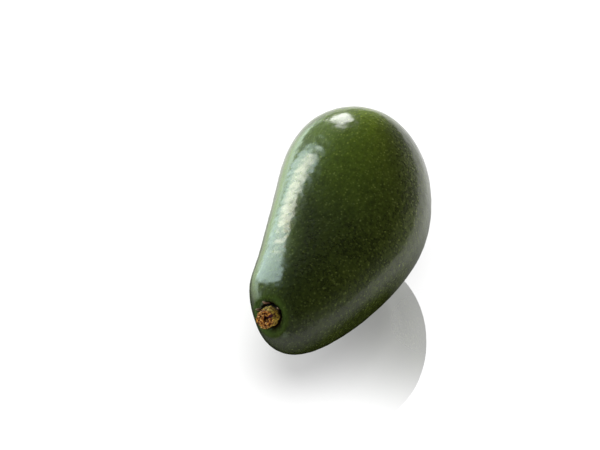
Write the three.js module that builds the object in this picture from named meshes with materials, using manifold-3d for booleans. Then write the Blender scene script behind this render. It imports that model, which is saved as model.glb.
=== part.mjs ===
// A smooth green avocado lying on its side, with the woody stub of its stem and three dried scales.
// Millimetres, +Z up. +X runs from the stem end to the blossom end, +Y to the hollow side of the neck.
// The origin is the middle of the small flat spot that the fruit rests on, under its centre of mass.
import * as THREE from 'three';
import { mergeVertices } from 'three/addons/utils/BufferGeometryUtils.js';
import Module from 'manifold-3d';

// The fruit, along its length from the stem end to the blossom end
const LENGTH = 110;
const NECK_HALF_WIDTH = 25;
const BODY_SWELL = 18;
const SIDE_HOLLOW = 5.5;
const TOP_HOLLOW = 7.5;
const BLOSSOM_SIDE_RISE = 3;
const BLOSSOM_TOP_RISE = 6;
const NECK_LEAN = 5;
const RESTING_TILT = THREE.MathUtils.degToRad(9);
const FLAT_SPOT_DEPTH = 1;
const RINGS = 40;
const SECTORS = 64;

// The stem end: where the stem joins, which way it points, and the dent and socket around it
const STEM_STATION = 0.047;
const STEM_TURN = THREE.MathUtils.degToRad(56);
const STEM_RISE = THREE.MathUtils.degToRad(32);
const STEM_YAW = THREE.MathUtils.degToRad(6);
const DENT_DEPTH = 2.5;
const DENT_REACH = 8;
const DENT_LEVELLING = 0.35;
const SOCKET_RADIUS = 5.1;
const SOCKET_MOUTH_RADIUS = 5.8;
const SOCKET_DEPTH = 1.4;
const SOCKET_CUT_HEIGHT = 4 * DENT_DEPTH;

// The stub of the stem, a waisted woody peg with a hollow pith
const STUB_FOOT_RADIUS = 3.9;
const STUB_FOOT_HEIGHT = 0.4;
const STUB_WAIST_RADIUS = 3.4;
const STUB_WAIST_HEIGHT = 2.34;
const STUB_END_RADIUS = 3.5;
const STUB_HEIGHT = 5.2;
const STUB_END_BEVEL = { width: 0.5, drop: 0.4 };
const STUB_END_DISH = 0.3;
const PITH_RADIUS = 0.9;
const PITH_FLOOR_RADIUS = 0.55;
const PITH_DEPTH = 1.3;
const STUB_SIDES = 20;
const CLEARANCE = 0.35;

// The dried scales that stand round the foot of the stub: turn about the stem, length, width and lean
const SCALES = [
  { turn: 30, length: 4.2, width: 2.1, lean: 11 },
  { turn: 78, length: 3.4, width: 1.6, lean: 9 },
  { turn: 325, length: 3.8, width: 1.5, lean: 7 },
];
const SCALE_THICKNESS = 0.35;
const SCALE_SHOULDER = 0.7;
const SCALE_CURVE_STEPS = 5;

// Colour and roughness of each finish
const SKIN = { color: 0x2f4a1d, roughness: 0.35 };
const STEM_WOOD = { color: 0x9c6a33, roughness: 0.85 };
const DRIED_SCALE = { color: 0x6b4a32, roughness: 0.9 };

const wasm = await Module();
wasm.setup();

const X_AXIS = new THREE.Vector3(1, 0, 0);
const Y_AXIS = new THREE.Vector3(0, 1, 0);
const Z_AXIS = new THREE.Vector3(0, 0, 1);
const FAR = 4 * LENGTH;

// A point of the undented skin: station 0 is the stem end and 1 the blossom end, turn goes about the length
function skinPoint(station, turn) {
  const roundEnds = 2 * Math.sqrt(station * (1 - station));
  const halfWidth = roundEnds * (NECK_HALF_WIDTH + BODY_SWELL * station ** 2);
  const hollow = Math.sin(Math.PI * station) ** 2;
  const blossomRise = roundEnds * station ** 4;
  const sideBulge = BLOSSOM_SIDE_RISE * blossomRise - SIDE_HOLLOW * hollow;
  const topBulge = BLOSSOM_TOP_RISE * blossomRise - TOP_HOLLOW * hollow;
  const across = Math.cos(turn);
  const upward = Math.sin(turn);
  return new THREE.Vector3(
    LENGTH * (station - 0.5),
    (halfWidth + sideBulge * across) * across - NECK_LEAN * (1 - station) ** 2,
    (halfWidth + topBulge * upward) * upward,
  );
}

const stemFoot = skinPoint(STEM_STATION, STEM_TURN);
const stemAxis = X_AXIS.clone()
  .negate()
  .applyAxisAngle(Y_AXIS, STEM_RISE)
  .applyAxisAngle(Z_AXIS, -STEM_YAW);

// Presses a point of the skin into the dent round the stem, which is more level than the skin was
function dented(point) {
  const fromFoot = point.clone().sub(stemFoot);
  const aside = fromFoot.addScaledVector(stemAxis, -fromFoot.dot(stemAxis)).length();
  const nearness = point.x < 0 ? Math.exp(-((aside / DENT_REACH) ** 2)) : 0;
  const sink = (DENT_DEPTH + DENT_LEVELLING * fromFoot.dot(stemAxis)) * nearness;
  return point.clone().addScaledVector(stemAxis, -sink);
}

function skinGeometry() {
  const positions = [];
  const triangles = [];
  positions.push(...dented(skinPoint(0, 0)).toArray());
  for (let ring = 1; ring < RINGS; ring += 1) {
    const station = (1 - Math.cos((Math.PI * ring) / RINGS)) / 2;
    for (let sector = 0; sector < SECTORS; sector += 1) {
      positions.push(...dented(skinPoint(station, (2 * Math.PI * sector) / SECTORS)).toArray());
    }
  }
  positions.push(...skinPoint(1, 0).toArray());
  const last = positions.length / 3 - 1;
  const corner = (ring, sector) => 1 + (ring - 1) * SECTORS + (sector % SECTORS);
  for (let sector = 0; sector < SECTORS; sector += 1) {
    triangles.push(0, corner(1, sector + 1), corner(1, sector));
    for (let ring = 1; ring < RINGS - 1; ring += 1) {
      const a = corner(ring, sector);
      const b = corner(ring, sector + 1);
      const c = corner(ring + 1, sector + 1);
      const d = corner(ring + 1, sector);
      triangles.push(a, b, c, a, c, d);
    }
    triangles.push(last, corner(RINGS - 1, sector), corner(RINGS - 1, sector + 1));
  }
  const geometry = new THREE.BufferGeometry();
  geometry.setAttribute('position', new THREE.Float32BufferAttribute(positions, 3));
  geometry.setIndex(triangles);
  return geometry;
}

function toSolid(geometry) {
  const bare = geometry.clone();
  bare.deleteAttribute('normal');
  bare.deleteAttribute('uv');
  const merged = mergeVertices(bare);
  return new wasm.Manifold(new wasm.Mesh({
    numProp: 3,
    vertProperties: new Float32Array(merged.attributes.position.array),
    triVerts: new Uint32Array(merged.index.array),
  }));
}

function toGeometry(solid) {
  const mesh = solid.getMesh();
  const geometry = new THREE.BufferGeometry();
  geometry.setAttribute('position', new THREE.BufferAttribute(mesh.vertProperties, 3));
  geometry.setIndex(new THREE.BufferAttribute(mesh.triVerts, 1));
  geometry.computeVertexNormals();
  return geometry;
}

// The centre of volume of a closed geometry
function centreOfMass(geometry) {
  const corners = geometry.attributes.position;
  const index = geometry.index.array;
  const centre = new THREE.Vector3();
  let volume = 0;
  for (let i = 0; i < index.length; i += 3) {
    const [a, b, c] = [0, 1, 2].map((k) => new THREE.Vector3().fromBufferAttribute(corners, index[i + k]));
    const wedge = a.dot(b.clone().cross(c)) / 6;
    volume += wedge;
    centre.addScaledVector(a.add(b).add(c), wedge / 4);
  }
  return centre.divideScalar(volume);
}

// Turns +Z to the stem's axis and puts the origin at the bottom of the dent
function stemPlacement() {
  const turn = new THREE.Quaternion().setFromUnitVectors(Z_AXIS, stemAxis);
  const foot = stemFoot.clone().addScaledVector(stemAxis, -DENT_DEPTH);
  return new THREE.Matrix4().compose(foot, turn, new THREE.Vector3(1, 1, 1));
}

// Lays the fruit down: stem end dipped, centre of mass above the origin, flat spot at height 0
function restingPlacement(geometry) {
  const tilt = new THREE.Matrix4().makeRotationY(-RESTING_TILT);
  const tilted = geometry.clone().applyMatrix4(tilt);
  tilted.computeBoundingBox();
  const centre = centreOfMass(tilted);
  const lowest = tilted.boundingBox.min.z + FLAT_SPOT_DEPTH;
  return new THREE.Matrix4().makeTranslation(-centre.x, -centre.y, -lowest).multiply(tilt);
}

function lathe(profile, sides) {
  const points = profile.map(([radius, height]) => new THREE.Vector2(radius, height));
  return new THREE.LatheGeometry(points, sides).rotateX(Math.PI / 2);
}

function fruitGeometry(toStem, toRest) {
  const socket = lathe([
    [0, -SOCKET_DEPTH],
    [SOCKET_RADIUS, -SOCKET_DEPTH],
    [SOCKET_RADIUS, 0],
    [SOCKET_MOUTH_RADIUS, DENT_DEPTH],
    [SOCKET_MOUTH_RADIUS, SOCKET_CUT_HEIGHT],
    [0, SOCKET_CUT_HEIGHT],
  ], 2 * STUB_SIDES);
  const ground = new THREE.BoxGeometry(FAR, FAR, FAR).translate(0, 0, -FAR / 2);
  const skin = skinGeometry().applyMatrix4(toRest);
  socket.applyMatrix4(toStem).applyMatrix4(toRest);
  return toGeometry(toSolid(skin).subtract(toSolid(socket)).subtract(toSolid(ground)));
}

function stubGeometry() {
  const foot = CLEARANCE - SOCKET_DEPTH;
  return lathe([
    [0, foot],
    [STUB_FOOT_RADIUS, foot],
    [STUB_FOOT_RADIUS, STUB_FOOT_HEIGHT],
    [STUB_WAIST_RADIUS, STUB_WAIST_HEIGHT],
    [STUB_END_RADIUS, STUB_HEIGHT - STUB_END_BEVEL.drop],
    [STUB_END_RADIUS - STUB_END_BEVEL.width, STUB_HEIGHT],
    [PITH_RADIUS, STUB_HEIGHT - STUB_END_DISH],
    [PITH_FLOOR_RADIUS, STUB_HEIGHT - PITH_DEPTH],
    [0, STUB_HEIGHT - PITH_DEPTH],
  ], STUB_SIDES);
}

// A small pointed scale, widest below its shoulder, standing on its foot and leaning away from the stub
function scaleGeometry({ turn, length, width, lean }) {
  const outline = new THREE.Shape();
  outline.moveTo(-width / 2, 0);
  outline.quadraticCurveTo(-width / 2, SCALE_SHOULDER * length, 0, length);
  outline.quadraticCurveTo(width / 2, SCALE_SHOULDER * length, width / 2, 0);
  outline.closePath();
  const settings = { depth: SCALE_THICKNESS, bevelEnabled: false, curveSegments: SCALE_CURVE_STEPS };
  return new THREE.ExtrudeGeometry(outline, settings)
    .rotateX(Math.PI / 2)
    .rotateZ(Math.PI / 2)
    .rotateY(THREE.MathUtils.degToRad(lean))
    .translate(STUB_FOOT_RADIUS + CLEARANCE, 0, CLEARANCE - SOCKET_DEPTH)
    .rotateZ(THREE.MathUtils.degToRad(turn));
}

function namedMesh(name, geometry, finish) {
  const mesh = new THREE.Mesh(geometry, new THREE.MeshStandardMaterial({ ...finish, metalness: 0 }));
  mesh.name = name;
  return mesh;
}

const toStem = stemPlacement();
const toRest = restingPlacement(skinGeometry());
const stemToRest = toRest.clone().multiply(toStem);

const avocado = new THREE.Group();
avocado.add(namedMesh('fruit', fruitGeometry(toStem, toRest), SKIN));
avocado.add(namedMesh('stem_stub', stubGeometry().applyMatrix4(stemToRest), STEM_WOOD));
SCALES.forEach((scale, i) => {
  const geometry = scaleGeometry(scale).applyMatrix4(stemToRest);
  avocado.add(namedMesh(`stem_scale_${i + 1}`, geometry, DRIED_SCALE));
});

export default avocado;
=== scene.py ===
"""A smooth green avocado lying on its side, with the woody stub of its stem and three dried scales.

Metres, +Z up. +X runs from the stem end to the blossom end, +Y to the hollow side of the neck.
Shape sizes are written in millimetres and turned into metres by MM.
"""

import math
from math import comb

import bpy
import numpy as np
from mathutils import Matrix, Vector, noise


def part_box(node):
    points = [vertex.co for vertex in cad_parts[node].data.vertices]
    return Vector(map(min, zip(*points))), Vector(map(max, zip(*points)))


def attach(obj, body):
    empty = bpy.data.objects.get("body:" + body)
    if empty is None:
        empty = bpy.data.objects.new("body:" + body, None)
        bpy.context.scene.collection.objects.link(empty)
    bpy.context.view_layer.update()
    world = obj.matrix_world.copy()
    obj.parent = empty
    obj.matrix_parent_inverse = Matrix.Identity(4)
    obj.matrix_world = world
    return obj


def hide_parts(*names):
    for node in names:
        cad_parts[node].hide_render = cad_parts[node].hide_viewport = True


MM = 0.001

# The fruit, along its length from the stem end to the blossom end
LENGTH = 110
NECK_HALF_WIDTH = 25
BODY_SWELL = 18
SIDE_HOLLOW = 5.5
TOP_HOLLOW = 7.5
BLOSSOM_SIDE_RISE = 3
BLOSSOM_TOP_RISE = 6
NECK_LEAN = 5
RESTING_TILT = math.radians(9)
RINGS = 300
SECTORS = 264
MEASURING_RINGS = 81
MEASURING_SECTORS = 128

# The stem end: where the stem joins, which way it points, and the dent round it
STEM_STATION = 0.047
STEM_TURN = math.radians(56)
STEM_RISE = math.radians(32)
STEM_YAW = math.radians(6)
DENT_DEPTH = 2.5
DENT_REACH = 8
DENT_INWARD_LIMIT = 25
DENT_LEVELLING = 0.35

# The moat round the stem, the creases at its edge and the rim outside it
MOAT_RADIUS = 4.75
MOAT_DEPTH = 1.9
MOAT_EDGE = 0.5
CREASE_DEPTH = 0.3
CREASE_OFFSET = 0.4
CREASE_SPREAD = 1.5
CREASE_WAVES = 26
CREASE_SEED = 1.0
CREASE_SLANT = 0.05
CREASE_SHARPNESS = 3.6
CREASE_AVERAGE = 0.5
RIM_RADIUS = 6.6
RIM_HEIGHT = 0.5
RIM_SPREAD = 1.5
RIM_AVERAGE = 0.75
PEBBLE_FREE_RADIUS = 1.2 * RIM_RADIUS

# Unevenness of the skin. Round the stem: height, waves in a turn and seed of each layer
MOAT_WOBBLE = ((0.5, 7, 4.0), (0.25, 23, 6.0))
RIM_WOBBLE = ((0.7, 5, 8.0),)
CREASE_PATCHES = ((1.3, 6, 2.0),)
# All over: height, wavelength and seed of each layer
SWELL = ((0.34, 26, 3.1), (0.07, 9, 7.7))
PEBBLES = ((0.05, 2.9, 1.3), (0.055, 1.8, 5.9))
UNEVEN_FROM_FLOOR = (1.0, 8.0)

# The raised shoulder of the neck, where the fruit lies
SHOULDER_MIDDLE = np.array((-44, 17, 38)) * MM
SHOULDER_OUTWARD = np.array((-0.41, 0.91, 0))
SHOULDER_REACH = 10 * MM
SHOULDER_HEIGHT = 1.7 * MM

# The blossom scar
SCAR_RADIUS = 1.7
SCAR_DEPTH = 0.5
SCAR_DIP_RADIUS = 2 * SCAR_RADIUS

# Painted window light, a lighter green on the side facing the left window: from where to where it comes in,
# by station and by how far the skin faces +Y
BODY_LIT_STATIONS = (0.30, 0.95)
BODY_LIT_SIDES = (-0.62, 0.1)
FLANK_LIT_STATIONS = (0.02, 0.25)
FLANK_LIT_SIDES = (-0.05, 0.5)
FLANK_LIGHT_SHARE = 0.8
OUTERMOST_SIDES = (0.35, 0.85)
OUTERMOST_LOSS = 0.45

# The stub of the stem
STUB_FOOT_RADIUS = 3.9
STUB_WAIST_RADIUS = 3.4
STUB_END_RADIUS = 3.55
STUB_HEIGHT = 5.2
STUB_ROOT = -1.6
STUB_OUTLINE = ((0.10, 4, 5.0), (0.07, 12, 2.0))
STUB_RAGGED_RIM = ((0.7, 5, 9.0), (0.6, 21, 3.0))
STUB_SECTORS = 160
STUB_SIDE_RINGS = 44
STUB_END_RINGS = 36

# Its bark: the cylinder that the ridges' noise is taken on, the ridges' layers and their share at the foot
BARK_NOISE_RADIUS = 3
BARK_NOISE_HEIGHT = 1.6
BARK_RIDGES = ((0.42, 0.9, 2.2), (0.22, 0.35, 6.1))
RIDGES_AT_FOOT = 0.4

# The notch down one side of it
NOTCH_TURN = math.radians(-50)
NOTCH_WIDTH = 0.36
NOTCH_CUT = 1.0
NOTCH_RIM_DROP = 1.1
NOTCH_END_DROP = 0.9

# Its end: twisted fibres and rings, sunk below the rim, and the torn pith
END_SINK = 0.35
END_RIM_SHARE = 0.80
END_MIDDLE_SHARE = 0.03
END_SWIRL = 1.1
END_NOISE_LEVEL = 3.0
END_FIBRES = ((0.75, 0.85, 4.4), (0.45, 0.4, 8.8))
END_RING_HEIGHT = 0.22
END_RINGS_PER_MM = 4.6
END_RING_WARP = ((3.0, 1.4, 1.1),)
PITH_RADIUS = 0.95
PITH_DEPTH = 1.3
PITH_SOFTNESS = 0.5
PITH_WOBBLE = ((0.9, 6, 6.0),)

# The dried scales round the foot of the stub: turn about the stem, length, width, lean and curl
SCALES = (
    {"turn": 30, "length": 4.0, "width": 1.7, "lean": 12, "curl": 26},
    {"turn": 78, "length": 3.4, "width": 1.3, "lean": 10, "curl": 34},
    {"turn": 325, "length": 3.8, "width": 1.2, "lean": 8, "curl": 18},
)
SCALE_FOOT = (STUB_FOOT_RADIUS + 0.35, 0, -1.05)
SCALE_ROWS = 18
SCALE_COLUMNS = 11
SCALE_THICKNESS = 0.32
SCALE_TIP_THINNING = 0.55
SCALE_POINTEDNESS = 1.9
SCALE_TIP_WIDTH = 0.004
SCALE_CUP = 0.22
SCALE_TEAR = 0.12
SCALE_RIPPLE = 0.07

# The camera and the studio
CAMERA_AZIMUTH = -65.9
CAMERA_ELEVATION = 43.4
CAMERA_DISTANCE = 1.3
CAMERA_LENS = 202
CAMERA_AIM = Vector((0, 0, 32)) * MM
FRUIT_RIGHT_OF_CENTRE = 15.95 * MM
FRUIT_BELOW_CENTRE = 2.7 * MM
FLOOR_HALF_SIZE = 6.0
FLOOR_BRIGHTNESS = 1.12
FLOOR_WHITE = 0.9
POLISH_MIDDLE = (0.0, -0.042, 0.0)
POLISH_FADE = (0.068, 0.012)
POLISH = 0.6

# Soft light panels, as seen from the fruit: degrees, metres, brightness and colour
PANELS = {
    "left_window": {
        "azimuth": 177, "elevation": 26, "distance": 0.50, "width": 0.27, "height": 0.57,
        "brightness": 7.2, "colour": (0.72, 0.93, 0.93), "roll": -20, "shape": "ELLIPSE",
    },
    "left_strip": {
        "azimuth": 171, "elevation": 33, "distance": 0.20, "width": 0.020, "height": 0.11,
        "brightness": 12.0, "colour": (1.0, 0.88, 0.70), "roll": -4, "shape": "ELLIPSE",
    },
    "back_window": {
        "azimuth": 130, "elevation": 32, "distance": 0.45, "width": 0.13, "height": 0.26,
        "brightness": 11.5, "colour": (1.0, 1.0, 1.0),
    },
    "right_fill": {
        "azimuth": 50, "elevation": 8, "distance": 0.9, "width": 0.6, "height": 0.5,
        "brightness": 24.0, "colour": (1.0, 0.90, 0.76), "in_gloss": False,
    },
    "front_fill": {
        "azimuth": -45, "elevation": 10, "distance": 0.9, "width": 0.6, "height": 0.4,
        "brightness": 6.5, "colour": (1.0, 0.97, 0.92), "in_gloss": False,
    },
}
ELLIPSE_SHARE = math.pi / 4

# Sockets of the colour Mix node
MIX_SHARE = 0
MIX_FIRST = 6
MIX_SECOND = 7
MIX_RESULT = 2


def direction(azimuth, elevation):
    """Unit vector towards a place seen from the object, in the order that the views use."""
    turn = math.radians(azimuth)
    rise = math.radians(elevation)
    return Vector((math.sin(turn) * math.cos(rise), -math.cos(turn) * math.cos(rise), math.sin(rise)))


# ---------------------------------------------------------------- shape of the fruit


def smooth_curve(values, place):
    """A smooth curve through control values, at places from 0 to 1 along them."""
    degree = len(values) - 1
    return sum(
        value * comb(degree, i) * place**i * (1 - place) ** (degree - i)
        for i, value in enumerate(values)
    )


def skin_points(station, turn):
    """Points of the undented skin, in millimetres, before the fruit is laid down."""
    round_ends = 2 * np.sqrt(np.clip(station * (1 - station), 0, None))
    half_width = round_ends * (NECK_HALF_WIDTH + BODY_SWELL * station**2)
    hollow = np.sin(math.pi * station) ** 2
    blossom_rise = round_ends * station**4
    side_bulge = BLOSSOM_SIDE_RISE * blossom_rise - SIDE_HOLLOW * hollow
    top_bulge = BLOSSOM_TOP_RISE * blossom_rise - TOP_HOLLOW * hollow
    across = np.cos(turn)
    upward = np.sin(turn)
    x = LENGTH * (station - 0.5) + 0 * turn
    y = (half_width + side_bulge * across) * across - NECK_LEAN * (1 - station) ** 2
    z = (half_width + top_bulge * upward) * upward
    return np.stack([x, y, z], axis=-1)


def stem_line():
    """Where the stem meets the undented skin, and its outward axis, before the fruit is laid down."""
    foot = Vector(skin_points(np.float64(STEM_STATION), np.float64(STEM_TURN)))
    axis = Vector((-math.cos(STEM_RISE), 0, math.sin(STEM_RISE)))
    axis.rotate(Matrix.Rotation(-STEM_YAW, 3, "Z"))
    return foot, axis


def dented(points):
    """Presses points of the skin into the dent round the stem."""
    foot, axis = (np.array(v) for v in stem_line())
    from_foot = points - foot
    along = from_foot @ axis
    aside = np.linalg.norm(from_foot - along[..., None] * axis, axis=-1)
    nearness = np.where(along > -DENT_INWARD_LIMIT, bell(aside, DENT_REACH), 0)
    sink = (DENT_DEPTH + DENT_LEVELLING * along) * nearness
    return points - sink[..., None] * axis


def resting_matrix():
    """Lays the fruit down where the CAD fruit lies: millimetres in, metres out."""
    station = (1 - np.cos(np.linspace(0, math.pi, MEASURING_RINGS))) / 2
    turn = np.linspace(0, 2 * math.pi, MEASURING_SECTORS, endpoint=False)
    points = dented(skin_points(station[:, None], turn[None, :])).reshape(-1, 3)
    tilt = Matrix.Rotation(-RESTING_TILT, 4, "Y")
    laid = points @ np.array(tilt.to_3x3()).T * MM
    low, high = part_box("fruit")
    shift = Vector((
        (low.x + high.x - laid[:, 0].min() - laid[:, 0].max()) / 2,
        (low.y + high.y - laid[:, 1].min() - laid[:, 1].max()) / 2,
        high.z - laid[:, 2].max(),
    ))
    return Matrix.Translation(shift) @ tilt @ Matrix.Scale(MM, 4)


def stem_matrix():
    """Stem frame to fruit frame: +Z along the stem, the origin at the bottom of the dent."""
    foot, axis = stem_line()
    turn = Vector((0, 0, 1)).rotation_difference(axis).to_matrix().to_4x4()
    return Matrix.Translation(foot - axis * DENT_DEPTH) @ turn


def noise_at(points, wavelength, seed=0.0):
    """Smooth noise from about -1 to 1 at each point, for a wavelength in the points' own unit."""
    offset = Vector((seed, seed * 1.7, seed * 2.3))
    flat = points.reshape(-1, 3) / wavelength
    values = [noise.noise(Vector(p) + offset) for p in flat]
    return np.array(values).reshape(points.shape[:-1])


def noise_layers(points, layers):
    """Layers of noise added up, each with its height, wavelength and seed."""
    return sum(height * noise_at(points, wavelength, seed) for height, wavelength, seed in layers)


def smooth_step(low, high, value):
    """Smoothly from 0 at low to 1 at high, either one the larger."""
    share = np.clip((value - low) / (high - low), 0, 1)
    return share * share * (3 - 2 * share)


def grid_normals(points):
    """Outward normals of a grid of rings by sectors that closes round each ring."""
    along = np.gradient(points, axis=0)
    around = np.roll(points, -1, axis=1) - np.roll(points, 1, axis=1)
    normals = np.cross(around, along)
    normals /= np.maximum(np.linalg.norm(normals, axis=-1, keepdims=True), 1e-12)
    outward = np.sum(normals * (points - points.mean(axis=(0, 1))))
    return normals if outward > 0 else -normals


def stem_surroundings(points):
    """Distance from the stem's axis and turn about it, for points in the fruit's own frame."""
    local = placed(points, stem_matrix().inverted())
    return np.hypot(local[..., 0], local[..., 1]), np.arctan2(local[..., 1], local[..., 0])


def circle_noise(turn, waves, seed):
    """Noise round a circle, with about that many waves in a full turn."""
    radius = waves / (2 * math.pi)
    ring = np.stack([radius * np.cos(turn), radius * np.sin(turn), np.full_like(turn, seed)], axis=-1)
    return noise_at(ring, 1.0)


def circle_layers(turn, layers):
    """Layers of noise round a circle added up, each with its height, waves in a turn and seed."""
    return sum(height * circle_noise(turn, waves, seed) for height, waves, seed in layers)


def bell(value, spread):
    """1 where the value is 0, falling to nothing on both sides."""
    return np.exp(-((value / spread) ** 2))


def rounded(radius, turn, level):
    """Points from their radius and turn about the stem and their level along it."""
    return np.stack([radius * np.cos(turn), radius * np.sin(turn), np.zeros_like(turn) + level], axis=-1)


def placed(points, matrix):
    """Points carried by a matrix."""
    grid = np.array(matrix)
    return points @ grid[:3, :3].T + grid[:3, 3]


def mesh_from_grid(name, grid):
    """A closed mesh of rings by sectors, whose first and last rings are filled to their middles."""
    rings, sectors = grid.shape[:2]
    vertices = [tuple(p) for p in grid.reshape(-1, 3)]
    faces = []
    for ring in range(rings - 1):
        for sector in range(sectors):
            following = (sector + 1) % sectors
            faces.append((
                ring * sectors + sector,
                ring * sectors + following,
                (ring + 1) * sectors + following,
                (ring + 1) * sectors + sector,
            ))
    for ring in (0, rings - 1):
        middle = len(vertices)
        vertices.append(tuple(grid[ring].mean(axis=0)))
        for sector in range(sectors):
            near = ring * sectors + sector
            far = ring * sectors + (sector + 1) % sectors
            faces.append((far, near, middle) if ring == 0 else (near, far, middle))
    mesh = bpy.data.meshes.new(name)
    mesh.from_pydata(vertices, [], faces)
    mesh.validate()
    mesh.update()
    if signed_volume(mesh) < 0:
        mesh.flip_normals()
    mesh.shade_smooth()
    piece = bpy.data.objects.new(name, mesh)
    bpy.context.scene.collection.objects.link(piece)
    return piece


def signed_volume(mesh):
    mesh.calc_loop_triangles()
    total = 0.0
    for triangle in mesh.loop_triangles:
        a, b, c = (mesh.vertices[i].co for i in triangle.vertices)
        total += a.dot(b.cross(c))
    return total


def store(piece, name, values):
    """Keeps a number for each vertex of a grid, and for its two middles, for the material to read."""
    middles = [values[0].mean(), values[-1].mean()]
    attribute = piece.data.attributes.new(name, "FLOAT", "POINT")
    attribute.data.foreach_set("value", np.append(values.ravel(), middles).astype(np.float32))


def stem_end_marks(points):
    """How far each point lies in the moat, on the rim and in a crease, and its distance from the stem."""
    aside, about = stem_surroundings(points)
    aside = np.where(points[..., 0] < 0, aside, LENGTH)
    wobbling = aside + circle_layers(about, MOAT_WOBBLE)
    moat = smooth_step(MOAT_RADIUS + MOAT_EDGE, MOAT_RADIUS - MOAT_EDGE, wobbling)
    rim = bell(aside - RIM_RADIUS, RIM_SPREAD) * (RIM_AVERAGE + circle_layers(about, RIM_WOBBLE))
    slanted = about + CREASE_SLANT * aside
    folds = 1 - np.abs(circle_noise(slanted, CREASE_WAVES, CREASE_SEED)) * CREASE_SHARPNESS
    near_moat = bell(aside - MOAT_RADIUS - CREASE_OFFSET, CREASE_SPREAD)
    patches = CREASE_AVERAGE + circle_layers(about, CREASE_PATCHES)
    creases = np.clip(np.clip(folds, 0, 1) * near_moat * patches, 0, 1)
    return moat, rim, creases, aside


def painted_window_light(station, normals):
    """How much painted window light lightens the green: most on the body and the flank, and less on the
    outermost side.
    """
    sideways = normals[..., 1]
    body = smooth_step(*BODY_LIT_STATIONS, station)[:, None] * smooth_step(*BODY_LIT_SIDES, sideways)
    flank = smooth_step(*FLANK_LIT_STATIONS, station)[:, None] * smooth_step(*FLANK_LIT_SIDES, sideways)
    lit_green = np.maximum(body, FLANK_LIGHT_SHARE * flank)
    return lit_green * (1 - OUTERMOST_LOSS * smooth_step(*OUTERMOST_SIDES, sideways))


def grow_skin():
    """The fruit's skin: lumps, fine pebbling, the puckered moat round the stem and the blossom scar."""
    station = (1 - np.cos(np.linspace(0, math.pi, RINGS + 1)[1:-1])) / 2
    turn = np.linspace(0, 2 * math.pi, SECTORS, endpoint=False)
    points = dented(skin_points(station[:, None], turn[None, :]))
    normals = grid_normals(points)
    moat, rim, creases, aside = stem_end_marks(points)

    pebbled = 1 - bell(aside, PEBBLE_FREE_RADIUS)
    unevenness = noise_layers(points, SWELL) + noise_layers(points, PEBBLES) * pebbled
    above_floor = placed(points, resting_matrix())[..., 2] / MM
    off_floor = smooth_step(*UNEVEN_FROM_FLOOR, above_floor)
    points = points + (unevenness * off_floor)[..., None] * normals
    lift = RIM_HEIGHT * rim - CREASE_DEPTH * creases - MOAT_DEPTH * moat
    points = points + lift[..., None] * np.array(stem_line()[1])

    blossom = skin_points(np.float64(1.0), np.float64(0.0))
    from_blossom = np.linalg.norm(points - blossom, axis=-1)
    points[..., 0] -= SCAR_DEPTH * bell(from_blossom, SCAR_DIP_RADIUS)

    laid = placed(points, resting_matrix())
    from_shoulder = np.linalg.norm(laid - SHOULDER_MIDDLE, axis=-1)
    shoulder = SHOULDER_HEIGHT * bell(from_shoulder, SHOULDER_REACH)
    laid = laid + shoulder[..., None] * SHOULDER_OUTWARD
    laid[..., 2] = np.maximum(laid[..., 2], 0)
    skin = mesh_from_grid("avocado_skin", laid)
    store(skin, "moat", moat)
    store(skin, "rim", np.clip(rim, 0, 1))
    store(skin, "creases", creases)
    store(skin, "scar", bell(from_blossom, SCAR_RADIUS))
    # Painted window light, stored for the material
    store(skin, "sunlit", painted_window_light(station, normals))
    return skin


def stub_side(turn, notch):
    """Rings up the bark of the stub, from its root in the fruit to its ragged rim."""
    waist_radii = (STUB_FOOT_RADIUS, STUB_FOOT_RADIUS, STUB_WAIST_RADIUS, STUB_END_RADIUS)
    outline = 1 + circle_layers(turn, STUB_OUTLINE)
    rim_height = STUB_HEIGHT + circle_layers(turn, STUB_RAGGED_RIM)
    rows = []
    for share in np.linspace(0, 1, STUB_SIDE_RINGS):
        bark = rounded(BARK_NOISE_RADIUS, turn, BARK_NOISE_HEIGHT * share)
        ridges = noise_layers(bark, BARK_RIDGES) * (RIDGES_AT_FOOT + (1 - RIDGES_AT_FOOT) * share)
        radius = smooth_curve(waist_radii, share) * outline + ridges - NOTCH_CUT * notch * share
        level = STUB_ROOT + (rim_height - STUB_ROOT) * share - NOTCH_RIM_DROP * notch * share**2
        rows.append(rounded(radius, turn, level))
    return rows


def stub_end(turn, notch, rim):
    """Rings over the end of the stub, from inside its rim to its middle."""
    rim_radius = np.hypot(rim[:, 0], rim[:, 1])
    rows = []
    for reach in np.linspace(1, END_MIDDLE_SHARE, STUB_END_RINGS)[1:]:
        radius = rim_radius * reach
        spot = rounded(radius, turn + END_SWIRL * (1 - reach), END_NOISE_LEVEL)
        fibres = noise_layers(spot, END_FIBRES)
        rings = END_RING_HEIGHT * np.sin(radius * END_RINGS_PER_MM + noise_layers(spot, END_RING_WARP))
        torn_edge = radius + circle_layers(turn, PITH_WOBBLE)
        pith = smooth_step(PITH_RADIUS * (1 + PITH_SOFTNESS), PITH_RADIUS * (1 - PITH_SOFTNESS), torn_edge)
        edge = smooth_step(END_RIM_SHARE, 1.0, reach)
        inside = STUB_HEIGHT - END_SINK + fibres + rings - NOTCH_END_DROP * notch * reach
        level = rim[:, 2] * edge + inside * (1 - edge) - PITH_DEPTH * pith
        rows.append(rounded(radius, turn, level))
    return rows


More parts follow.
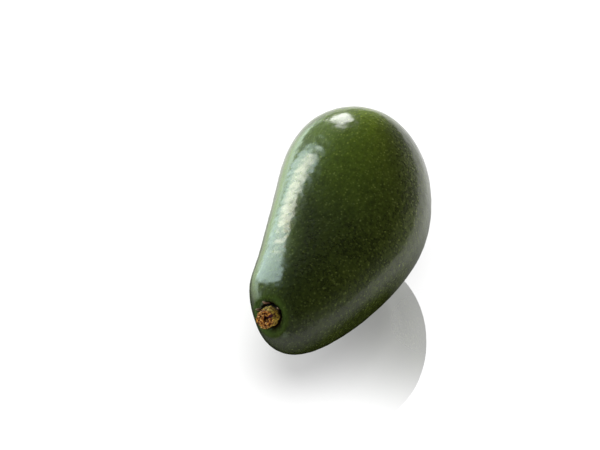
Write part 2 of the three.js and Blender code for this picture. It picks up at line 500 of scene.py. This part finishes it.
def grow_stub():
    """The woody stub: a ridged, waisted side, a notched ragged rim, and a fibrous end with a torn pith."""
    turn = np.linspace(0, 2 * math.pi, STUB_SECTORS, endpoint=False)
    from_notch = np.abs((turn - NOTCH_TURN + math.pi) % (2 * math.pi) - math.pi)
    notch = bell(from_notch, NOTCH_WIDTH)
    side = stub_side(turn, notch)
    grid = np.stack(side + stub_end(turn, notch, side[-1]))
    stub = mesh_from_grid("stem_wood", placed(grid, resting_matrix() @ stem_matrix()))

    on_end = np.zeros(grid.shape[:2])
    on_end[STUB_SIDE_RINGS - 2:] = 0.5
    on_end[STUB_SIDE_RINGS:] = 1
    height = grid[..., 2] / STUB_HEIGHT
    depth = np.clip((STUB_HEIGHT - END_SINK - grid[..., 2]) / PITH_DEPTH, 0, 1) * on_end
    store(stub, "end_face", on_end)
    store(stub, "depth", depth)
    store(stub, "notch", np.broadcast_to(notch, grid.shape[:2]) * np.clip(height, 0, 1))
    store(stub, "height", height)
    return stub


def grow_scale(number, turn, length, width, lean, curl):
    """A dried scale: a thin pointed flake, cupped across and curled outward, with a torn edge."""
    seed = 3.0 * number
    rise = np.linspace(0, 1, SCALE_ROWS)[:, None]
    side = np.linspace(-1, 1, SCALE_COLUMNS)[None, :]
    flat = 0 * side * rise
    narrowing = np.sqrt(np.clip(1 - rise**SCALE_POINTEDNESS, SCALE_TIP_WIDTH, 1))
    half = 0.5 * width * narrowing * (0.92 + 0.1 * np.sin(4 * rise))
    across = half * side
    torn = SCALE_TEAR * noise_at(np.stack([side * 2 + flat, rise * 5 + flat, flat + seed], axis=-1), 0.6)
    up = length * rise * (1 - 0.12 * np.abs(side)) + torn * rise
    bend = math.radians(curl) * rise**2
    cup = SCALE_CUP * (side**2) * width * (0.4 + 0.6 * rise)
    ripple = SCALE_RIPPLE * noise_at(np.stack([across + flat, up, flat + seed], axis=-1), 0.7)
    outward = up * np.sin(bend) * 0.6 + cup + ripple + 0.16 * SCALE_THICKNESS
    raised = up * np.cos(bend * 0.6)
    inner = np.stack([outward, across + flat, raised], axis=-1)
    thickness = np.array([SCALE_THICKNESS, 0, 0]) * (1 - SCALE_TIP_THINNING * rise[..., None] ** 2)
    outer = inner + thickness
    grid = np.concatenate([inner, outer[:, ::-1]], axis=1)
    placement = (
        resting_matrix()
        @ stem_matrix()
        @ Matrix.Rotation(math.radians(turn), 4, "Z")
        @ Matrix.Translation(SCALE_FOOT)
        @ Matrix.Rotation(math.radians(lean), 4, "Y")
    )
    flake = mesh_from_grid(f"dried_scale_{number}", placed(grid, placement))
    store(flake, "tip", np.broadcast_to(rise, grid.shape[:2]))
    return flake


# ---------------------------------------------------------------- materials


class Value:
    """A number that varies from place to place. Python arithmetic on it adds Math nodes."""

    def __init__(self, nodes, socket):
        self.nodes = nodes
        self.socket = socket

    def _maths(self, operation, *values):
        return self.nodes.value("ShaderNodeMath", {"operation": operation}, dict(enumerate(values)), 0)

    def __add__(self, other):
        return self._maths("ADD", self, other)

    def __radd__(self, other):
        return self._maths("ADD", other, self)

    def __sub__(self, other):
        return self._maths("SUBTRACT", self, other)

    def __rsub__(self, other):
        return self._maths("SUBTRACT", other, self)

    def __mul__(self, other):
        return self._maths("MULTIPLY", self, other)

    def __rmul__(self, other):
        return self._maths("MULTIPLY", other, self)

    def __truediv__(self, other):
        return self._maths("DIVIDE", self, other)

    def larger(self, other):
        return self._maths("MAXIMUM", self, other)

    def clamped(self):
        return self.nodes.value("ShaderNodeClamp", {}, {"Value": self}, 0)

    def ramp(self, low, high):
        """Smoothly from 0 at low to 1 at high, which may be numbers or values, either one the larger."""
        share = ((self - low) / (high - low)).clamped()
        return share * share * (3.0 - 2.0 * share)


class Nodes:
    """A node tree in the making."""

    def __init__(self, tree):
        self.tree = tree
        self.tree.nodes.clear()

    def node(self, kind, settings, inputs):
        """Adds a node: its settings first, then values or links into its sockets."""
        node = self.tree.nodes.new(kind)
        for key, value in settings.items():
            setattr(node, key, value)
        for key, value in inputs.items():
            self.feed(node.inputs[key], value)
        return node

    def value(self, kind, settings, inputs, output):
        """Adds a node and gives one of its outputs as a number to calculate with."""
        return Value(self, self.node(kind, settings, inputs).outputs[output])

    def feed(self, socket, value):
        if isinstance(value, Value):
            value = value.socket
        if isinstance(value, bpy.types.NodeSocket):
            self.tree.links.new(value, socket)
        elif socket.type == "RGBA":
            socket.default_value = (*value, 1.0)
        else:
            socket.default_value = value

    def coordinate(self, kind):
        return self.node("ShaderNodeTexCoord", {}, {}).outputs[kind]

    def light_path(self, question):
        return self.value("ShaderNodeLightPath", {}, {}, question)


class Finish(Nodes):
    """A material in the making: its surface maths and its shader."""

    def __init__(self, name, **constants):
        self.material = bpy.data.materials.new(name)
        self.material.use_nodes = True
        super().__init__(self.material.node_tree)
        self.shader = self.node("ShaderNodeBsdfPrincipled", {}, {})
        self.output = self.node("ShaderNodeOutputMaterial", {}, {"Surface": self.shader.outputs[0]})
        self.set(**constants)

    def set(self, **inputs):
        for key, value in inputs.items():
            self.feed(self.shader.inputs[key.replace("_", " ")], value)

    def stored(self, name):
        """A number kept on the mesh."""
        return self.value("ShaderNodeAttribute", {"attribute_name": name}, {}, "Fac")

    def noise(self, wavelength, detail=2.0, roughness=0.5, distortion=0.0):
        """Cloudy noise from 0 to 1, for a wavelength in metres."""
        return self.value("ShaderNodeTexNoise", {}, {
            "Vector": self.coordinate("Object"),
            "Scale": 1 / wavelength,
            "Detail": detail,
            "Roughness": roughness,
            "Distortion": distortion,
        }, "Fac")

    def scatter(self, spacing):
        """Scattered points: the distance to the nearest in metres, and two random numbers for it."""
        node = self.node("ShaderNodeTexVoronoi", {"feature": "F1"}, {
            "Vector": self.coordinate("Object"),
            "Scale": 1 / spacing,
        })
        split = self.node("ShaderNodeSeparateColor", {}, {"Color": node.outputs["Color"]})
        distance = Value(self, node.outputs["Distance"]) * spacing
        return distance, Value(self, split.outputs["Red"]), Value(self, split.outputs["Green"])

    def mix(self, share, first, second):
        """From the first colour to the second."""
        colours = {MIX_SHARE: share, MIX_FIRST: first, MIX_SECOND: second}
        return self.node("ShaderNodeMix", {"data_type": "RGBA"}, colours).outputs[MIX_RESULT]

    def relief(self, height):
        """Normals of a surface raised by height metres."""
        bump = self.node("ShaderNodeBump", {}, {"Strength": 1.0, "Distance": 1.0, "Height": height})
        return bump.outputs["Normal"]


def skin_finish():
    """Waxy green skin with pale pores and mottling, painted window light on one side, a paler and drier rim
    with painted light, painted shade in the creases, and a dry brown moat round the stem with near-black
    painted shade.
    """
    deep = (0.008, 0.0115, 0.0015)
    olive = (0.021, 0.030, 0.0040)
    # The lighter green of the painted window light, and the pore colour in painted light and in painted
    # shade
    lit_green = (0.082, 0.124, 0.010)
    shaded_pore = (0.110, 0.140, 0.040)
    sunlit_pore = (0.30, 0.36, 0.065)
    dry_and_lit_rim = (0.075, 0.125, 0.028)
    crease_painted_shade = (0.022, 0.022, 0.010)
    moat_painted_shade = (0.010, 0.006, 0.006)
    crust_brown = (0.075, 0.038, 0.022)
    scar_tan = (0.14, 0.085, 0.035)

    finish = Finish(
        "avocado_skin_finish",
        Specular_IOR_Level=0.04,
        IOR=1.45,
        Coat_Roughness=0.19,
        Coat_IOR=1.5,
    )
    patches = finish.noise(wavelength=0.011, detail=4, roughness=0.6)
    mottle = finish.noise(wavelength=0.0014, detail=3, roughness=0.65)
    tone = patches.ramp(0.3, 0.7) * 0.4 + mottle.ramp(0.36, 0.64) * 0.6
    colour = finish.mix(tone, deep, olive)
    # Painted window light: the side facing the left window is painted a lighter green, with paler pores
    sunlit = finish.stored("sunlit")
    colour = finish.mix((sunlit * (0.6 + tone * 0.6)).clamped(), colour, lit_green)
    pore = finish.mix(sunlit, shaded_pore, sunlit_pore)

    distance, size, strength = finish.scatter(spacing=0.00185)
    radius = 0.00034 + size * 0.00036
    pores = distance.ramp(radius, 0.0) * strength.ramp(-0.1, 0.9)
    near_speck, _, speck_strength = finish.scatter(spacing=0.0012)
    specks = near_speck.ramp(0.00052, 0.0) * speck_strength
    colour = finish.mix(specks * 0.45, colour, pore)
    # Pores stand out more in the painted window light
    colour = finish.mix(pores * (0.45 + sunlit * 0.45), colour, pore)

    rim = finish.stored("rim")
    moat = finish.stored("moat")
    creases = finish.stored("creases")
    scar = finish.stored("scar")
    # The raised rim: paler, drier skin, with painted light on the ridge
    colour = finish.mix((rim * 0.45).clamped(), colour, dry_and_lit_rim)
    # Painted shade in the creases round the moat
    colour = finish.mix((creases * 0.85).clamped(), colour, crease_painted_shade)
    # The moat: brown crust mixed with near-black painted shade of the hollow round the stem
    crust_and_shade = finish.mix(finish.noise(wavelength=0.0006, detail=4), moat_painted_shade, crust_brown)
    colour = finish.mix(moat.ramp(0.15, 0.7), colour, crust_and_shade)
    colour = finish.mix(scar.ramp(0.2, 0.6), colour, scar_tan)

    coarse_pebbles = finish.noise(wavelength=0.0023, detail=1) * 0.00024
    fine_pebbles = finish.noise(wavelength=0.0012, detail=2) * 0.00042
    crumbs = finish.noise(wavelength=0.0005, detail=4) * 0.0003
    relief = coarse_pebbles + fine_pebbles - pores * 0.00005 + moat * crumbs
    dryness = (moat * 2.0 + scar + creases + rim * 2.5).clamped()
    finish.set(
        Base_Color=colour,
        Roughness=0.42 + mottle * 0.12 + dryness * 0.3,
        Coat_Weight=(1.0 - dryness - pores * 0.4).clamped(),
        Normal=finish.relief(relief),
    )
    return finish.material


def wood_finish():
    """Dry stem wood: olive and red-brown bark, an ochre end of bright fibres in dark gaps, a dark pith
    deepened by painted shade, and painted shade at the foot.
    """
    bark_brown = (0.080, 0.040, 0.010)
    bark_olive = (0.420, 0.300, 0.040)
    bark_red = (0.060, 0.010, 0.010)
    gap_red = (0.110, 0.020, 0.006)
    fibre_ochre = (0.86, 0.42, 0.070)
    fibre_pale = (1.0, 0.70, 0.30)
    end_red = (0.090, 0.016, 0.010)
    pith_dark_and_shade = (0.030, 0.005, 0.006)
    notch_purple = (0.050, 0.008, 0.022)
    foot_painted_shade = (0.010, 0.006, 0.004)

    finish = Finish("stem_wood_finish", IOR=1.4)
    grain = finish.noise(wavelength=0.00075, detail=4, roughness=0.65, distortion=0.8)
    blotch = finish.noise(wavelength=0.0017, detail=3)
    bark = finish.mix(grain.ramp(0.35, 0.60), bark_brown, bark_olive)
    bark = finish.mix(blotch.ramp(0.50, 0.62) * 0.85, bark, bark_red)
    gap, tint, _ = finish.scatter(spacing=0.00062)
    fibre = gap.ramp(0.00042, 0.00010)
    end = finish.mix(fibre * 0.7 + grain.ramp(0.4, 0.7) * 0.3, gap_red, fibre_ochre)
    end = finish.mix(tint.ramp(0.65, 0.9) * fibre, end, fibre_pale)
    end = finish.mix(blotch.ramp(0.55, 0.72) * 0.8, end, end_red)
    colour = finish.mix(finish.stored("end_face").ramp(0.3, 0.9), bark, end)
    # The torn pith: dark tissue, with painted shade deepening it the lower it lies
    colour = finish.mix(finish.stored("depth").ramp(0.20, 0.75), colour, pith_dark_and_shade)
    colour = finish.mix(finish.stored("notch").ramp(0.35, 0.75), colour, notch_purple)
    # Painted shade at the foot of the stub, down in the moat
    colour = finish.mix(finish.stored("height").ramp(0.25, -0.05), colour, foot_painted_shade)
    finish.set(
        Base_Color=colour,
        Roughness=0.55 + grain * 0.3,
        Normal=finish.relief(grain * 0.0003 + fibre * 0.00012),
    )
    return finish.material


def scale_finish():
    """Papery brown scales, paler at the tip."""
    fibre_dark = (0.060, 0.030, 0.018)
    fibre_light = (0.200, 0.115, 0.070)
    tip_pale = (0.36, 0.24, 0.17)

    finish = Finish("dried_scale_finish", IOR=1.4)
    fibre = finish.noise(wavelength=0.0006, detail=4, roughness=0.6)
    brown = finish.mix(fibre.ramp(0.3, 0.7), fibre_dark, fibre_light)
    colour = finish.mix(finish.stored("tip").ramp(0.55, 1.0) * 0.6, brown, tip_pale)
    finish.set(
        Base_Color=colour,
        Roughness=0.65 + fibre * 0.25,
        Normal=finish.relief(fibre * 0.00012),
    )
    return finish.material


# ---------------------------------------------------------------- studio


def floor_finish():
    """White polished floor, a faint mirror beside the fruit. To the fruit's gloss it shows a painted green
    reflection on the window side, and painted shade near the fruit and under its neck."""
    window_green = (0.82, 1.0, 0.66)
    far_green = (0.80, 1.0, 0.84)
    white = (FLOOR_WHITE, FLOOR_WHITE, FLOOR_WHITE)

    finish = Finish("floor_finish")
    matt = finish.node("ShaderNodeBsdfDiffuse", {}, {"Color": white})
    glow = finish.node("ShaderNodeEmission", {}, {"Strength": FLOOR_BRIGHTNESS})
    mirror = finish.node("ShaderNodeBsdfGlossy", {}, {"Color": (1.0, 1.0, 1.0), "Roughness": 0.0})
    gloss_shade = finish.node("ShaderNodeBsdfDiffuse", {}, {"Color": (0.0, 0.0, 0.0)})
    sheen = finish.node("ShaderNodeEmission", {}, {"Color": window_green, "Strength": 2.2})
    far_sheen = finish.node("ShaderNodeEmission", {}, {"Color": far_green, "Strength": 4.0})

    place = finish.coordinate("Object")
    away = finish.value("ShaderNodeVectorMath", {"operation": "LENGTH"}, {0: place}, "Value")
    from_polish = {0: place, 1: POLISH_MIDDLE}
    beside = finish.value("ShaderNodeVectorMath", {"operation": "DISTANCE"}, from_polish, "Value")
    split = finish.node("ShaderNodeSeparateXYZ", {}, {0: place})
    along = Value(finish, split.outputs["X"])
    across = Value(finish, split.outputs["Y"])
    gloss = finish.light_path("Is Glossy Ray") * (1.0 - finish.light_path("Is Singular Ray"))
    windowed = across.ramp(0.07, 0.15) * (across - along).ramp(0.0, 0.08)
    neckward = along.ramp(0.03, -0.03)
    near_fruit = away.ramp(0.12, 0.03)

    surface = matt.outputs[0]
    for share, layer in (
        (0.5, glow),
        (beside.ramp(*POLISH_FADE) * POLISH, mirror),
        # Painted shade: the fruit's gloss sees the floor dark near the fruit and under its neck
        (gloss * (neckward * 0.35 + near_fruit * 0.8).clamped(), gloss_shade),
        # Painted reflection: a green glow that only the fruit's gloss sees on the window side
        (gloss * windowed, sheen),
        (gloss * windowed * across.ramp(0.14, 0.40), far_sheen),
    ):
        layers = {0: share, 1: surface, 2: layer.outputs[0]}
        surface = finish.node("ShaderNodeMixShader", {}, layers).outputs[0]
    finish.feed(finish.output.inputs["Surface"], surface)
    finish.tree.nodes.remove(finish.shader)
    return finish.material


def lay_floor():
    mesh = bpy.data.meshes.new("floor")
    half = FLOOR_HALF_SIZE
    corners = [(-half, -half, 0), (half, -half, 0), (half, half, 0), (-half, half, 0)]
    mesh.from_pydata(corners, [], [(0, 1, 2, 3)])
    floor = bpy.data.objects.new("floor", mesh)
    bpy.context.scene.collection.objects.link(floor)
    floor.data.materials.append(floor_finish())
    return floor


def hang_panel(
    name, azimuth, elevation, distance, width, height, brightness, colour,
    roll=0.0, shape="RECTANGLE", in_gloss=True,
):
    """A soft light panel that faces the fruit, of even brightness as seen from the fruit."""
    covered = ELLIPSE_SHARE if shape == "ELLIPSE" else 1.0
    light = bpy.data.lights.new(name, "AREA")
    light.shape = shape
    light.size = width
    light.size_y = height
    light.energy = brightness * math.pi * width * height * covered
    light.color = colour
    panel = bpy.data.objects.new(name, light)
    bpy.context.scene.collection.objects.link(panel)
    towards = direction(azimuth, elevation)
    turn = towards.to_track_quat("Z", "Y").to_matrix().to_4x4()
    spin = Matrix.Rotation(math.radians(roll), 4, "Z")
    panel.matrix_world = Matrix.Translation(CAMERA_AIM + towards * distance) @ turn @ spin
    panel.visible_camera = False
    panel.visible_glossy = in_gloss
    return panel


def light_only(lamp, pieces):
    """Keeps a lamp's light to some of the pieces."""
    lit = bpy.data.collections.new(f"lit_by_{lamp.name}")
    for piece in pieces:
        lit.objects.link(piece)
    lamp.light_linking.receiver_collection = lit


def light_fruit(pieces):
    """A tall window on the left, a small warm strip near it, a small window behind, and soft fills."""
    for name, panel in PANELS.items():
        light_only(hang_panel(name, **panel), pieces)


def light_floor(floor):
    """Wide light from above, for the floor alone."""
    sun = bpy.data.lights.new("floor_light", "SUN")
    sun.energy = FLOOR_BRIGHTNESS * math.pi / FLOOR_WHITE
    sun.angle = math.radians(60)
    lamp = bpy.data.objects.new("floor_light", sun)
    bpy.context.scene.collection.objects.link(lamp)
    lamp.visible_glossy = False
    light_only(lamp, [floor])


def surround_studio():
    """A dark room with a faint glow at floor level; white where the camera or the floor's mirror sees it."""
    world = bpy.data.worlds.new("studio")
    bpy.context.scene.world = world
    world.use_nodes = True
    room = Nodes(world.node_tree)
    split = room.node("ShaderNodeSeparateXYZ", {}, {0: room.coordinate("Generated")})
    glow = 0.03 + Value(room, split.outputs["Z"]).ramp(0.75, 0.0) * 0.30
    dark = room.node("ShaderNodeBackground", {}, {"Color": (0.95, 0.98, 1.0), "Strength": glow})
    plain = {"Color": (1.0, 1.0, 1.0), "Strength": FLOOR_BRIGHTNESS}
    white = room.node("ShaderNodeBackground", {}, plain)
    seen = room.light_path("Is Camera Ray").larger(room.light_path("Is Singular Ray"))
    blend = room.node("ShaderNodeMixShader", {}, {0: seen, 1: dark.outputs[0], 2: white.outputs[0]})
    room.node("ShaderNodeOutputWorld", {}, {0: blend.outputs[0]})
    bpy.context.scene.view_settings.view_transform = "Standard"


def place_camera():
    camera = bpy.data.objects.new("camera", bpy.data.cameras.new("camera"))
    bpy.context.scene.collection.objects.link(camera)
    bpy.context.scene.camera = camera
    camera.data.lens = CAMERA_LENS
    camera.data.sensor_width = 36
    camera.data.clip_end = 50
    back = direction(CAMERA_AZIMUTH, CAMERA_ELEVATION)
    turn = back.to_track_quat("Z", "Y")
    right = turn @ Vector((1, 0, 0))
    up = turn @ Vector((0, 1, 0))
    aim = CAMERA_AIM - right * FRUIT_RIGHT_OF_CENTRE + up * FRUIT_BELOW_CENTRE
    camera.matrix_world = Matrix.Translation(aim + back * CAMERA_DISTANCE) @ turn.to_matrix().to_4x4()


# ---------------------------------------------------------------- the object


def add_piece(piece, finish, node):
    """Gives a piece its finish and sets it in the frame in place of a node."""
    piece.data.materials.append(finish)
    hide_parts(node)
    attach(piece, "root")
    return piece


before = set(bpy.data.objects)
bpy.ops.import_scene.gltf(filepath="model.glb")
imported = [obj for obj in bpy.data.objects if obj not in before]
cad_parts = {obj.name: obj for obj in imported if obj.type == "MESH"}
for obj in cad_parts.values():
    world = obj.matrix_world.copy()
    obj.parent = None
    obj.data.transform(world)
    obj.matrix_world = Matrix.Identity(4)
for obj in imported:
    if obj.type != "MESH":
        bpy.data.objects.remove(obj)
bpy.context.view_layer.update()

place_camera()

dried = scale_finish()
pieces = [
    add_piece(grow_skin(), skin_finish(), "fruit"),
    add_piece(grow_stub(), wood_finish(), "stem_stub"),
]
for number, scale in enumerate(SCALES, start=1):
    pieces.append(add_piece(grow_scale(number, **scale), dried, f"stem_scale_{number}"))

light_floor(lay_floor())
light_fruit(pieces)
surround_studio()
